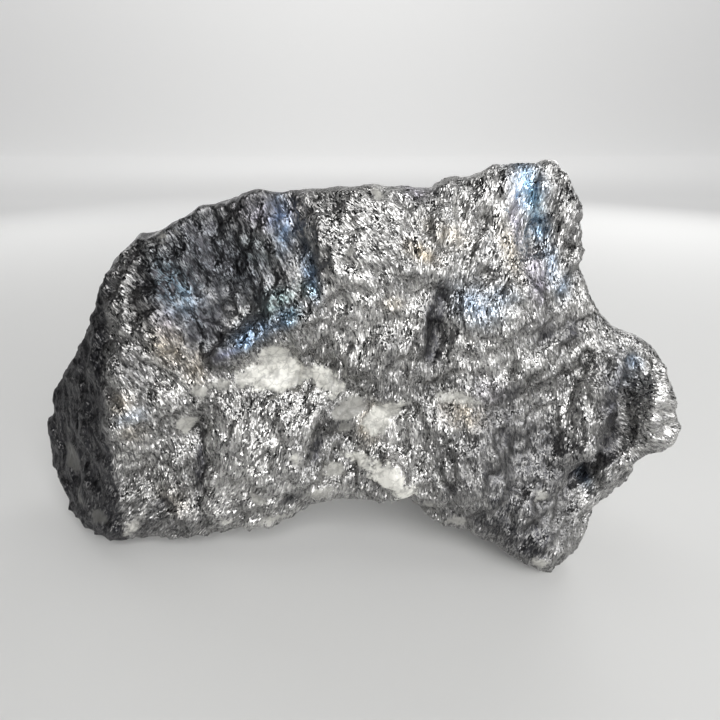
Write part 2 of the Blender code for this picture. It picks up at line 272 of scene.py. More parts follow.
# Pockets: painted shade in the cracks, furrows and hollows of the front, laid in with the soot.
PAINTED_SHADE_POCKETS = [
    (-21.9, 18.0, 0.9, 6.0, -6.0, 0.95),  # furrow in the left foot
    (17.7, 45.4, 1.6, 5.6, -12.0, 1.0),  # cleft right of the boss
    (17.4, 40.4, 1.5, 2.8, 10.0, 0.95),
    (44.2, 17.6, 1.4, 6.4, -30.0, 0.8),  # step above the ledge
    (47.0, 24.0, 3.0, 4.6, -20.0, 0.85),
    (46.4, 32.0, 2.6, 6.4, 4.0, 0.8),  # groove beside the right lobe
    (35.0, 43.0, 2.0, 1.6, 30.0, 0.75),
    (38.8, 43.4, 1.5, 2.2, -20.0, 0.7),
    (30.6, 33.2, 1.1, 2.4, -14.0, 0.65),
    (30.0, 26.0, 1.4, 2.6, 16.0, 0.7),
    (38.0, 24.6, 2.0, 1.4, 40.0, 0.65),
    (42.4, 21.0, 1.8, 2.4, -30.0, 0.75),
    (31.2, 13.8, 2.6, 1.4, 20.0, 0.75),
    (27.6, 9.8, 1.8, 1.3, -20.0, 0.7),
    (35.0, 10.4, 1.4, 1.8, 0.0, 0.7),
    (21.4, 16.8, 1.2, 1.8, 20.0, 0.6),
    (26.4, 20.4, 1.0, 2.0, -10.0, 0.55),
    (3.2, 26.6, 1.5, 2.0, 10.0, 0.7),  # between the quartz and the left foot
    (-1.4, 22.4, 0.9, 3.0, -8.0, 0.8),
    (-6.0, 13.6, 1.0, 2.2, -40.0, 0.65),
    (-29.0, 11.0, 2.6, 1.2, 20.0, 0.6),
    (10.8, 40.0, 0.9, 2.2, -14.0, 0.5),
    (36.6, 9.4, 2.2, 2.0, 0.0, 0.75),
    (28.4, 15.4, 2.0, 1.4, 30.0, 0.65),
    (46.8, 37.6, 2.4, 1.8, 20.0, 0.65),
]
# Soot: painted shade on the darker places of the front, partly a duller tarnish of the ore itself.
SOOT_AND_PAINTED_SHADE_PATCHES = [
    (-17.5, 54.0, 16.0, 11.5, 8.0, 1.1),  # painted shade and a duller, darker tarnish on the upper left
    (-18.8, 43.4, 5.6, 5.0, 20.0, 1.15),
    (-26.0, 50.0, 6.0, 6.0, 0.0, 1.15),
    (-36.0, 49.0, 4.0, 5.0, -30.0, 0.95),
    (-26.0, 59.0, 9.0, 4.4, 20.0, 1.1),
    (-10.0, 61.6, 9.0, 3.6, 6.0, 0.96),
    (-31.0, 37.6, 4.0, 4.0, 0.0, 0.55),
    (-17.5, 37.6, 3.6, 2.4, 10.0, 0.7),
    (19.0, 48.0, 1.2, 3.6, -22.0, 0.4),
    (34.0, 43.8, 3.6, 3.2, 20.0, 0.7),
    (46.4, 37.0, 3.8, 4.2, 0.0, 0.8),
    (38.0, 9.0, 2.4, 5.0, -50.0, 0.6),
    (33.0, 20.0, 15.0, 12.0, -36.0, 0.84),  # painted shade on the right foot
    (31.0, 9.6, 8.6, 5.0, -14.0, 0.96),
    (35.2, 8.4, 5.4, 4.8, 0.0, 1.05),
    (-33.0, 6.0, 8.0, 4.0, 0.0, 0.7),
    (-50.0, 18.0, 10.0, 19.0, -34.0, 0.8),
    (-30.0, 6.0, 6.0, 3.4, -8.0, 0.4),
    (2.0, 24.0, 2.6, 5.0, 0.0, 0.25),
    (12.0, 34.0, 5.0, 4.0, 20.0, 0.2),
]
BACK_SHINE_PATCHES = [
    (2.0, 50.0, 12.0, 7.0, 10.0, 0.7),
    (-26.0, 34.0, 9.0, 5.0, 40.0, 0.6),
    (34.0, 26.0, 6.0, 9.0, -16.0, 0.7),
    (54.0, 24.0, 5.0, 7.0, 0.0, 0.7),
    (-20.0, 12.0, 12.0, 5.0, 6.0, 0.5),
]
BACK_BLUE_PATCHES = [
    (-26.0, 46.0, 9.0, 4.0, 34.0, 0.34),
    (18.0, 50.0, 9.0, 3.4, -24.0, 0.34),
    (38.0, 30.0, 3.4, 7.0, 10.0, 0.3),
    (-4.0, 16.0, 7.0, 3.0, 20.0, 0.25),
]
BACK_BRONZE_PATCHES = [
    (2.0, 42.0, 7.0, 3.0, 20.0, 0.45),
    (-42.0, 22.0, 3.0, 5.0, 10.0, 0.4),
    (28.0, 34.0, 4.0, 3.0, 0.0, 0.35),
]
BACK_SOOT_PATCHES = [
    (-22.0, 58.0, 18.0, 6.0, 20.0, 0.75),
    (-2.0, 63.5, 14.0, 3.0, 2.0, 0.6),
    (-2.0, 28.0, 16.0, 8.0, 12.0, 0.4),
    (34.0, 14.0, 9.0, 5.0, -20.0, 0.6),
    (44.0, 38.0, 5.0, 9.0, 30.0, 0.6),
    (22.0, 40.0, 8.0, 3.4, -40.0, 0.5),
    (-12.0, 44.0, 9.0, 3.6, -24.0, 0.5),
    (-38.0, 30.0, 9.0, 6.0, 30.0, 0.4),
]
FLANK = (-34.8, -37.4)  # the left flank gets painted shade, partly a darker crust of its own, beyond these places in X
# how strong the painted shade of the left flank is
FLANK_SOOT_AND_SHADE = 1.15
FLANK_EVENNESS = 0.25  # share of the relief that the flank doesn't have
FLANK_WANDER = (7.0, 3.4)  # how far the edge of the dark flank strays: along it, and to either side
FLANK_STRAYS = (-14.0, 0.0)  # that edge starts to stray at the first depth, and strays fully at the second
POCKET_CRISPNESS = 1.6  # the pockets' painted shade is this much stronger, but never over 1, so its edges are sharper
SHINE_AND_LIGHT_LIFT = 0.75  # share of the soot and painted shade that is missing under the strongest shine and painted light
BACK_MOTTLE = 7.0  # size of the brighter and darker areas of the back and the ends
BACK_MOTTLE_RANGE = (0.02, 0.30)  # an area rises from nothing to full strength between these noises
BACK_SHINE = 0.9
BACK_SHINE_SHIFT = 1.0  # another shift gives other areas
BACK_SOOT = 0.75
BACK_SOOT_SHIFT = 2.0
FRONT_TO_BACK = (-4.0, 3.0)  # the front's patches fade out between these depths
PATCH_FALL = 2.4  # a higher number gives the soft patches a sharper edge
FAR_OUTSIDE = -9.0  # depth inside the quartz patches, for a place that is near none of them
DEPTH_LIMIT = 3.0  # that depth is held between this far outside and this far inside a patch

# Colours, and how rough each finish is.
ORE_BRIGHT = (0.80, 0.79, 0.77, 1.0)
ORE_DULL = (0.20, 0.20, 0.205, 1.0)
# the colour of the soot: mostly painted shade, partly a duller tarnish
SOOT_AND_PAINTED_SHADE = (0.05, 0.05, 0.055, 1.0)
TARNISHES = [
    # name, patches of the front, patches of the back, tint: each is laid over the ones before it
    ("violet", VIOLET_PATCHES, BACK_BLUE_PATCHES[1:2], (0.92, 0.84, 1.14)),
    ("bronze", BRONZE_PATCHES, BACK_BRONZE_PATCHES, (1.16, 0.98, 0.72)),
    ("teal", TEAL_PATCHES, BACK_BLUE_PATCHES[:1], (0.74, 1.12, 1.12)),
    ("blue", BLUE_PATCHES, BACK_BLUE_PATCHES, (0.62, 0.92, 1.34)),
]
QUARTZ_WHITE = (0.70, 0.69, 0.64, 1.0)
QUARTZ_GREY = (0.13, 0.128, 0.12, 1.0)
ORE_ROUGHNESS = (0.18, 0.40)
SOOT_AND_SHADE_ROUGHNESS = 0.16  # how much rougher the ore is under the soot and painted shade
QUARTZ_ROUGHNESS = 0.38
SMOKY_SOOT_AND_SHADE = (0.7, 1.1)  # on this much soot and painted shade the quartz turns smoky and darker
SMOKY_SHADE = 0.45  # how bright the smokiest quartz is, darkened by painted shade, beside 1 where it is milky
QUARTZ_BLOCK = 1.9  # size of the blocks between the fine cracks of the quartz
CRACK_WIDTH = 0.12  # in blocks
CRACK_SHADE = 0.62  # how white the quartz is in a crack, beside 1 between the cracks

# Noises of the material, given by their size and detail, and what their ranges are turned into.
NOISE_ROUGHNESS = 0.6
EDGE_WANDER = (2.6, 3.0)
EDGE_WANDER_REACH = 3.4  # how far the wander moves the edge of the quartz, from end to end
EDGE_FRAY = (0.5, 2.0)
EDGE_FRAY_REACH = 1.8
EDGE_STRENGTHS = (0.2, 1.0)  # strengths of a faint and of a strong patch
EDGE_PUSH = (-0.5, 0.15)  # how far out the edges of those two are moved
EDGE_FADE = (-0.45, 0.50)  # the ore gives way to quartz between these depths
CRACK_BEND = (0.8, 2.0)  # bends the cracks
MILK = (2.0, 5.0)  # whiter and greyer spots of the quartz
MILK_RANGE = (0.34, 0.60)
MILK_WHITENESS = (0.45, 1.1)
STAIN_NOISE = (1.6, 4.0)  # breaks up the tarnishes
STAIN_RANGE = (0.2, 0.75)
STAIN_STRENGTH = (0.35, 1.25)

# Fine grains of the ore, too small for the mesh.
DOMAIN = 5.5  # each patch of this size has grains that lie one way
DOMAIN_SHIFT = 40.0  # how far off each domain draws its grains from, so that no two are alike
GRAINS = [(0.16, 4.2, 0.47), (0.42, 3.0, 0.11)]  # width, length over width, tilt
GRAIN_INPUTS = [
    # name, kind of socket, usual value
    ("Place", "NodeSocketVector", None),
    ("Angle", "NodeSocketFloat", 0.0),
    ("Width", "NodeSocketFloat", 0.5),
    ("Lengthening", "NodeSocketFloat", 2.0),
    ("Tilt", "NodeSocketFloat", 0.5),
    ("Normal", "NodeSocketVector", None),
]
GRAIN_OUTPUTS = [("Normal", "NodeSocketVector"), ("Shade", "NodeSocketFloat"), ("Fibre", "NodeSocketFloat")]
FIBRE = (0.33, 4.6)  # width and length over width of the fibres between the grains
FIBRE_HEIGHT = 0.12
FIBRE_DETAIL = 2.0
FIBRE_ROUGHNESS = 0.65
QUARTZ_TILT = 0.12  # share of the grains' tilt that is left on quartz

# How bright the ore is.
FINE_WEIGHT = 0.6  # how much the shades of the fine and the coarse grains count
COARSE_WEIGHT = 0.4
GRAIN_WEIGHT = 0.75  # how much the grains and the broad mottle count
MOTTLE_WEIGHT = 0.5
MOTTLE = (9.0, 3.0)  # size and detail
BRIGHTNESS_RANGE = (0.15, 0.95)  # the ore goes from dull to bright between these
HOLLOW_SHADE = 0.60  # painted shade: how bright the ore is in the hollows between the ridges, beside 1 on top
FIBRE_SHADE = 0.56  # and the painted shade between the fibres
FIBRE_RANGE = (0.36, 0.58)
CLUMP = (3.4, 2.0)  # size and detail of the darker and brighter clumps of ore
CLUMP_SHADE = 0.66
CLUMP_RANGE = (0.38, 0.56)
SOOT_AND_SHADE_GRAINS = (0.2, 1.0)  # shades of a dull and of a bright grain
SOOT_AND_SHADE_STRENGTH = (1.05, 0.6)  # how strong the soot and painted shade is on those two
CALM_RANGE = (0.2, 1.0)  # amounts of soot and painted shade, or of shine and painted light, between which the grains grow calmer
SOOT_AND_SHADE_CALM = 0.5  # share of the grains' tilt that is left on the darkest ore
SOOT_AND_SHADE_EVENNESS = 0.35  # share of the dark between the grains that is missing on the darkest ore
SHINE_CALM = 0.68  # share of the grains' tilt that is left on the shiniest ore
SHINE_AND_LIGHT_EVENNESS = 0.66  # share of the dark between the grains, mostly painted shade, that is missing under the strongest shine and painted light

# Camera, lights and room.
CAMERA_PLACE = (6.0, -93.2, 72.0)
CAMERA_DOWN = 23.0  # degrees under the horizon
CAMERA_LENS = 27.0
CAMERA_NEAR = 2.0
LIGHTS = [
    # name, place, aim, size, watts
    ("key", (120.0, -400.0, 300.0), (0.0, 0.0, 35.0), 420.0, 3.1),
    ("right", (420.0, -140.0, 170.0), (0.0, 0.0, 35.0), 220.0, 0.42),
    ("top", (40.0, 60.0, 420.0), (0.0, 20.0, 0.0), 260.0, 0.25),
    ("left_back", (-320.0, 300.0, 250.0), (0.0, 0.0, 35.0), 260.0, 0.5),
    ("right_back", (300.0, 360.0, 250.0), (0.0, 0.0, 35.0), 260.0, 0.7),
    ("backdrop", (0.0, 900.0, 900.0), (0.0, 2000.0, 500.0), 900.0, 5.0),
]
ROOM_LIGHT = 0.03
BACKDROP_SHADE = (0.62, 0.62, 0.61, 1.0)
BACKDROP_GLOW = (0.02, 0.46)  # near the stone, and on the wall behind
BACKDROP_GLOW_RISE = (0.0, 0.55)  # the glow rises between these places in Y, in metres
FLOOR_ROUGHNESS = 0.7
FLOOR_HALF = 1.6  # these three are in metres
BACKDROP_BEND = 0.5
BACKDROP_HEIGHT = 1.4
BEND_STEPS = 16


def smooth_step(value, low, high):
    """0 below low, 1 above high, and a smooth rise between. It also falls, where high is under low."""
    share = np.clip((value - low) / (high - low), 0.0, 1.0)
    return share * share * (3.0 - 2.0 * share)


def oval_radius(places, patch):
    """How far each place is from the middle of the patch: 1 is its edge."""
    x, z, half_length, half_width, turn, _ = patch
    angle = math.radians(turn)
    run, rise = places[:, 0] - x, places[:, 2] - z
    along = run * math.cos(angle) + rise * math.sin(angle)
    across = rise * math.cos(angle) - run * math.sin(angle)
    return np.hypot(along / half_length, across / half_width)


def soft_patches(places, patches):
    """Strength of a stain that fades out smoothly round each patch."""
    strength = np.zeros(len(places))
    for patch in patches:
        here = patch[5] * np.exp(-(oval_radius(places, patch) ** PATCH_FALL))
        strength = np.maximum(strength, here)
    return strength


def inside_patches(places, patches):
    """How deep each place lies inside the nearest patch, in millimetres, and the strength of that patch."""
    depth = np.full(len(places), FAR_OUTSIDE)
    strength = np.zeros(len(places))
    for patch in patches:
        here = (1.0 - oval_radius(places, patch)) * min(patch[2], patch[3])
        nearest = here > depth
        strength = np.where(nearest, patch[5], strength)
        depth = np.maximum(depth, here)
    return np.clip(depth, -DEPTH_LIMIT, DEPTH_LIMIT), strength


def dent_depth(places):
    """How deep the cracks and pits of the front are at each place."""
    depth = np.zeros(len(places))
    for dent in DENTS:
        depth = np.maximum(depth, dent[5] * np.exp(-(oval_radius(places, dent) ** 2)))
    return depth


def flank_share(places):
    """1 on the left flank, which gets painted shade and partly a darker crust, and 0 off it. Behind the front
    face its edge strays.
    """
    size, reach = FLANK_WANDER
    behind = smooth_step(places[:, 1], *FLANK_STRAYS)
    stray = np.array([noise.noise(Vector(place) / size) for place in places])
    return smooth_step(places[:, 0] + reach * behind * stray, *FLANK)


def grain_shares(places):
    """How much each grain line counts at each place. A row holds the shares of one place."""
    lines = np.array(GRAIN_LINES)
    run = places[:, 0, None] - lines[:, 0]
    rise = places[:, 2, None] - lines[:, 1]
    weight = np.exp(-(run**2 + rise**2) / lines[:, 3] ** 2) + LEAST_WEIGHT
    return weight / weight.sum(axis=1, keepdims=True)


def grain_angle(shares):
    """The angle of the grain of the break at each place, in radians."""
    return shares @ np.radians([line[2] for line in GRAIN_LINES])


def mottle(places, shift):
    """Soft spots, 0 to 1, spread at random over the stone. Another shift gives other spots."""
    noises = [noise.noise(Vector(place) / BACK_MOTTLE + shift * NOISE_ORIGIN) for place in places]
    return smooth_step(np.array(noises), *BACK_MOTTLE_RANGE)


def trimmed(places):
    """Presses what stands outside the clean edges of the outline back onto them."""
    for x, z, degrees, half_length in EDGE_TRIMS:
        out = np.array([math.cos(math.radians(degrees)), math.sin(math.radians(degrees))])
        run, rise = places[:, 0] - x, places[:, 2] - z
        beyond = np.maximum(run * out[0] + rise * out[1], 0.0)
        along = np.abs(rise * out[0] - run * out[1]) / half_length
        press = TRIM_HARDNESS * beyond * smooth_step(along, *TRIM_ENDS)
        places[:, 0] -= press * out[0]
        places[:, 2] -= press * out[1]


def chip_height(point, size, slope):
    """Height of flat chips. Each cell of a Voronoi pattern has a slope of its own."""
    distances, centres = noise.voronoi(point / size)
    tilt = noise.cell_vector(centres[0] * CHIP_DRAW) - Vector((0.5, 0.5, 0.5))
    seam = min(1.0, (distances[1] - distances[0]) / CHIP_SEAM)
    return (point / size - centres[0]).dot(tilt) * 2.0 * size * slope * seam


def ridge_height(point, line):
    """Height of the ridges that run with the grain of the break, as one grain line lays them out."""
    x, z, degrees, _ = line
    cosine, sine = math.cos(math.radians(degrees)), math.sin(math.radians(degrees))
    run, rise = point.x - x, point.z - z
    across, along = run * cosine + rise * sine, rise * cosine - run * sine
    height = 0.0
    for width, length, tall in RIDGES:
        place = Vector((across / width, (point.y + x) / width, along / length))
        height += tall * (RIDGE_CREST - RIDGE_FALL * abs(noise.noise(place)))
    return height


def blended_ridges(point, shares):
    """Ridges of the grain lines round a place, blended so that they stay as tall as on one line."""
    counted = [(share, line) for share, line in zip(shares, GRAIN_LINES) if share > LEAST_SHARE]
    evened = math.sqrt(sum(share * share for share, _ in counted))
    return sum(share * ridge_height(point, line) for share, line in counted) / evened


def ore_relief(point, shares):
    """Height of the broken ore: its ridges, chips and lumps."""
    height = blended_ridges(point, shares)
    for size, slope in CHIPS:
        height += chip_height(point + NOISE_ORIGIN, size, slope)
    for size, rise in LUMPS:
        height += rise * noise.noise((point - NOISE_ORIGIN) / size)
    return height


def quartz_relief(point):
    """Height of the rounded knobs of the quartz."""
    distances, _ = noise.voronoi(point / QUARTZ_KNOB)
    return QUARTZ_RISE + QUARTZ_KNOB_HEIGHT * (0.5 - distances[0])


def object_from(data, name):
    """A new object of the scene with this mesh, lamp or camera in it."""
    obj = bpy.data.objects.new(name, data)
    bpy.context.scene.collection.objects.link(obj)
    return obj


def merged_copy(node):
    """A copy of a solid's mesh whose loose triangles are joined up."""
    bm = bmesh.new()
    bm.from_mesh(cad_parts[node].data)
    bmesh.ops.remove_doubles(bm, verts=bm.verts, dist=JOIN_REACH * MM)
    mesh = bpy.data.meshes.new("merged")
    bm.to_mesh(mesh)
    bm.free()
    return mesh


def remeshed(mesh, step):
    """The mesh with even faces of this size."""
    rough = object_from(mesh, "rough")
    even = rough.modifiers.new("even_faces", "REMESH")
    even.mode = "VOXEL"
    even.voxel_size = step * MM
    seen = rough.evaluated_get(bpy.context.evaluated_depsgraph_get())
    fine = bpy.data.meshes.new_from_object(seen)
    bpy.data.objects.remove(rough)
    return fine


def smoothed(mesh):
    """Takes the flat faces of the solid out of the fine mesh, and leaves the resting flats alone."""
    bm = bmesh.new()
    bm.from_mesh(mesh)
    free = [vertex for vertex in bm.verts if vertex.co.z > GROUND_REACH * MM]
    for _ in range(SMOOTHINGS):
        bmesh.ops.smooth_vert(
            bm,
            verts=free,
            factor=SMOOTHING,
            use_axis_x=True,
            use_axis_y=True,
            use_axis_z=True,
        )
    bm.to_mesh(mesh)
    bm.free()


def mesh_array(mesh, what, field):
    """One vector for each corner of the mesh, such as its place or its normal."""
    values = np.zeros(len(mesh.vertices) * 3)
    getattr(mesh, what).foreach_get(field, values)
    return values.reshape(-1, 3)


def store(mesh, name, values):
    """Stores one number for each corner of the mesh, under a name that the material reads."""
    attribute = mesh.attributes.new(name, "FLOAT", "POINT")
    attribute.data.foreach_set("value", values.astype(np.float32))


def quartz_depths(places, front):
    """How deep each place lies in the quartz of its side of the stone, and how strong that quartz is."""
    is_front = front > 0.5
    front_depth, front_strength = inside_patches(places, QUARTZ_PATCHES)
    back_depth, back_strength = inside_patches(places, BACK_QUARTZ_PATCHES)
    depth = np.where(is_front, front_depth, back_depth)
    strength = np.where(is_front, front_strength, back_strength)
    return depth, strength


def relief_heights(places, shares, quartz):
    """Height of the ore's relief at each place, and the height where the quartz has its share."""
    ore = np.zeros(len(places))
    mixed = np.zeros(len(places))
    for index, place in enumerate(places):
        point = Vector(place)
        share = quartz[index]
        ore[index] = ore_relief(point, shares[index])
        mixed[index] = ore[index] * (1.0 - QUARTZ_SMOOTHNESS * share)
        if share > 0.0:
            mixed[index] += share * quartz_relief(point)
    return ore, mixed


def rim_share(places, facing):
    """Share of the relief that each place has. It is low where the stone turns away from the front."""
    forward = smooth_step(np.abs(facing[:, 1]), *RIM)
    full = np.maximum(forward, smooth_step(places[:, 1], *RIM_DEPTH))
    return RIM_RELIEF + (1.0 - RIM_RELIEF) * full


def on_both_sides(front, on_front, on_back):
    """The first values on the front face and the second ones behind it, with a fade between."""
    return front * on_front + (1.0 - front) * on_back


def store_stains_light_and_shade(mesh, places, front, flank):
    """Stores the shine and painted light, the tarnishes, and the soot and painted shade of the ore."""
    pocket_shade = front * np.minimum(1.0, POCKET_CRISPNESS * soft_patches(places, PAINTED_SHADE_POCKETS))
    back_mottle = BACK_SHINE * mottle(places, BACK_SHINE_SHIFT)
    back_shine = np.maximum(soft_patches(places, BACK_SHINE_PATCHES), back_mottle)
    shine_and_painted_light = on_both_sides(front, soft_patches(places, SHINE_AND_PAINTED_LIGHT_PATCHES), back_shine)
    shine_and_painted_light *= 1.0 - pocket_shade
    store(mesh, "shine_and_painted_light", shine_and_painted_light)

    for name, front_patches, back_patches, _ in TARNISHES:
        on_front, on_back = soft_patches(places, front_patches), soft_patches(places, back_patches)
        store(mesh, name, on_both_sides(front, on_front, on_back))

    soot_and_painted_shade = on_both_sides(front, soft_patches(places, SOOT_AND_PAINTED_SHADE_PATCHES), soft_patches(places, BACK_SOOT_PATCHES))
    soot_and_painted_shade = np.maximum(soot_and_painted_shade, (1.0 - front) * BACK_SOOT * mottle(places, BACK_SOOT_SHIFT))
    soot_and_painted_shade = np.maximum(soot_and_painted_shade * (1.0 - SHINE_AND_LIGHT_LIFT * shine_and_painted_light), pocket_shade)
    soot_and_painted_shade = np.maximum(soot_and_painted_shade, FLANK_SOOT_AND_SHADE * flank)
    store(mesh, "soot_and_painted_shade", soot_and_painted_shade)


def stone_piece():
    """The fine stone with its relief, and the masks that its material reads."""
    noise.seed_set(NOISE_SEED)
    mesh = remeshed(merged_copy(STONE), MESH_STEP)
    smoothed(mesh)
    places = mesh_array(mesh, "vertices", "co") / MM
    facing = mesh_array(mesh, "vertex_normals", "vector")
    trimmed(places)
    front = smooth_step(places[:, 1], FRONT_TO_BACK[1], FRONT_TO_BACK[0])
    flank = flank_share(places)
    dents = front * dent_depth(places)
    shares = grain_shares(places)
    depth, strength = quartz_depths(places, front)
    quartz = smooth_step(depth, *QUARTZ_EDGE) * np.minimum(1.0, strength + QUARTZ_EXTRA)
    ore, heights = relief_heights(places, shares, quartz)

    heights *= rim_share(places, facing)
    heights *= 1.0 - FLANK_EVENNESS * flank
    heights -= dents
    heights *= smooth_step(places[:, 2], *GROUND_FADE)
    places += facing * heights[:, None]
    places[:, 2] = np.maximum(places[:, 2], 0.0)
    mesh.vertices.foreach_set("co", (places * MM).ravel())
    mesh.update()

    store(mesh, "ridge", smooth_step(ore - dents, *RIDGE_RANGE))
    store(mesh, "grain_angle", grain_angle(shares))
    store(mesh, "quartz_depth", depth)
    store(mesh, "quartz_strength", strength)
    store_stains_light_and_shade(mesh, places, front, flank)
    mesh.shade_smooth()
    return object_from(mesh, "skutterudite_stone")


def feed(tree, socket, value):
    """Gives a socket a constant, or links the output of another node to it."""
    if isinstance(value, bpy.types.NodeSocket):
        tree.links.new(value, socket)
    else:
        socket.default_value = value


def add_node(tree, kind, inputs=None, **settings):
    """A shader node. An input's value is a constant or the output of another node."""
    node = tree.nodes.new("ShaderNode" + kind)
    for name, value in settings.items():
        setattr(node, name, value)
    for name, value in (inputs or {}).items():
        feed(tree, node.inputs[name], value)
    return node


def calculate(tree, operation, first, second=0.0, third=0.0):
    """The result of a Math node."""
    node = add_node(tree, "Math", {0: first, 1: second, 2: third}, operation=operation)
    return node.outputs[0]


def combine(tree, operation, first, second=(0.0, 0.0, 0.0), scale=1.0):
    """The result of a Vector Math node."""
    node = add_node(tree, "VectorMath", {0: first, 1: second, 3: scale}, operation=operation)
    return node.outputs["Value" if operation in ("DOT_PRODUCT", "LENGTH") else "Vector"]


def blend_colours(tree, share, first, second):
    """The first colour at share 0, and the second at share 1."""
    # Sockets 6 and 7 and output 2 of a Mix node are the ones for colours.
    return add_node(tree, "Mix", {0: share, 6: first, 7: second}, data_type="RGBA").outputs[2]


def ramp(tree, value, low, high, to_low=0.0, to_high=1.0):
    """The value, moved smoothly from one range to another and held at its ends."""
    inputs = {"Value": value, "From Min": low, "From Max": high, "To Min": to_low, "To Max": to_high}
    return add_node(tree, "MapRange", inputs, interpolation_type="SMOOTHSTEP").outputs[0]


def attribute(tree, name):
    """A number that the mesh stores for each of its corners."""
    return add_node(tree, "Attribute", attribute_name=name).outputs["Fac"]


def grain_sockets(group):
    """Gives the group of the grains its named inputs and outputs."""
    for name, kind, usual in GRAIN_INPUTS:
        socket = group.interface.new_socket(name, in_out="INPUT", socket_type=kind)
        if usual is not None:
            socket.default_value = usual
    for name, kind in GRAIN_OUTPUTS:
        group.interface.new_socket(name, in_out="OUTPUT", socket_type=kind)


def grain_place(group, given):
    """The place, turned along the grain inside each domain and measured in grains."""
    in_domains = combine(group, "SCALE", given["Place"], scale=1.0 / (DOMAIN * MM))
    domain = add_node(group, "TexVoronoi", {"Vector": in_domains, "Scale": 1.0}, feature="F1").outputs
    turning = {"Vector": combine(group, "SUBTRACT", in_domains, domain["Position"]), "Angle": given["Angle"]}
    turned = add_node(group, "VectorRotate", turning, rotation_type="Y_AXIS").outputs[0]
    shift = combine(group, "SCALE", domain["Color"], scale=DOMAIN_SHIFT)
    local = combine(group, "ADD", combine(group, "SCALE", turned, scale=DOMAIN), shift)
    shortened = calculate(group, "DIVIDE", 1.0, given["Lengthening"])
    shrink = add_node(group, "CombineXYZ", {"X": 1.0, "Y": 1.0, "Z": shortened}).outputs[0]
    stretched = combine(group, "MULTIPLY", local, shrink)
    return combine(group, "SCALE", stretched, scale=calculate(group, "DIVIDE", 1.0, given["Width"]))


def grain_group():
    """Crystal grains, drawn out along the angle, each with a tilt and a shade of its own."""
    group = bpy.data.node_groups.new("crystal_grains", "ShaderNodeTree")
    grain_sockets(group)
    given = group.nodes.new("NodeGroupInput").outputs
    result = group.nodes.new("NodeGroupOutput").inputs
    place = grain_place(group, given)
    grain = add_node(group, "TexVoronoi", {"Vector": place, "Scale": 1.0}, feature="F1").outputs["Color"]
    lean = combine(group, "SUBTRACT", grain, (0.5, 0.5, 0.5))
    doubled = calculate(group, "MULTIPLY", given["Tilt"], 2.0)
    leaning = combine(group, "ADD", given["Normal"], combine(group, "SCALE", lean, scale=doubled))
    shade = add_node(group, "SeparateColor", {0: grain}).outputs[0]
    streaks = {"Vector": place, "Scale": 1.0, "Detail": FIBRE_DETAIL, "Roughness": FIBRE_ROUGHNESS}
    fibre = add_node(group, "TexNoise", streaks).outputs[0]
    group.links.new(combine(group, "NORMALIZE", leaning), result["Normal"])
    group.links.new(shade, result["Shade"])
    group.links.new(fibre, result["Fibre"])
    return group


def grains(tree, group, place, angle, normal, size):
    """One size of grain: its (normal, shade, fibre)."""
    width, lengthening, tilt = size
    lie = {"Place": place, "Angle": angle, "Normal": normal}
    shape = {"Width": width, "Lengthening": lengthening, "Tilt": tilt}
    outputs = add_node(tree, "Group", {**lie, **shape}, node_tree=group).outputs
    return outputs["Normal"], outputs["Shade"], outputs["Fibre"]


def fractal(tree, place, size, detail):
    """Noise of this size in millimetres, from 0 to 1."""
    inputs = {"Vector": place, "Scale": 1.0 / (size * MM), "Detail": detail, "Roughness": NOISE_ROUGHNESS}
    return add_node(tree, "TexNoise", inputs).outputs[0]


def crack_distance(tree, place):
    """How far each place is from the nearest crack of the quartz, in quartz blocks."""
    bend = calculate(tree, "MULTIPLY", fractal(tree, place, *CRACK_BEND), QUARTZ_BLOCK * MM)
    bent = combine(tree, "ADD", place, combine(tree, "SCALE", (1.0, 1.0, 1.0), scale=bend))
    inputs = {"Vector": bent, "Scale": 1.0 / (QUARTZ_BLOCK * MM)}
    return add_node(tree, "TexVoronoi", inputs, feature="DISTANCE_TO_EDGE").outputs["Distance"]


def quartz_mask(tree, place):
    """1 on quartz and 0 on ore. Its edge strays from the patches and is frayed."""
    wander = calculate(tree, "SUBTRACT", fractal(tree, place, *EDGE_WANDER), 0.5)
    fray = calculate(tree, "SUBTRACT", fractal(tree, place, *EDGE_FRAY), 0.5)
    edge = calculate(tree, "MULTIPLY_ADD", wander, EDGE_WANDER_REACH, attribute(tree, "quartz_depth"))
    edge = calculate(tree, "MULTIPLY_ADD", fray, EDGE_FRAY_REACH, edge)
    push = ramp(tree, attribute(tree, "quartz_strength"), *EDGE_STRENGTHS, *EDGE_PUSH)
    return ramp(tree, calculate(tree, "ADD", edge, push), *EDGE_FADE)


def grain_tilt(tree, quartz):
    """How much the grains tilt: all on plain ore, less under soot and painted shade and under shine and
    painted light, least on quartz.
    """
    on_soot_and_shade = ramp(tree, attribute(tree, "soot_and_painted_shade"), *CALM_RANGE, 1.0, SOOT_AND_SHADE_CALM)
    on_shine = ramp(tree, attribute(tree, "shine_and_painted_light"), *CALM_RANGE, 1.0, SHINE_CALM)
    calm = calculate(tree, "MULTIPLY", on_soot_and_shade, on_shine)
    return calculate(tree, "MULTIPLY", calm, ramp(tree, quartz, 0.0, 1.0, 1.0, QUARTZ_TILT))


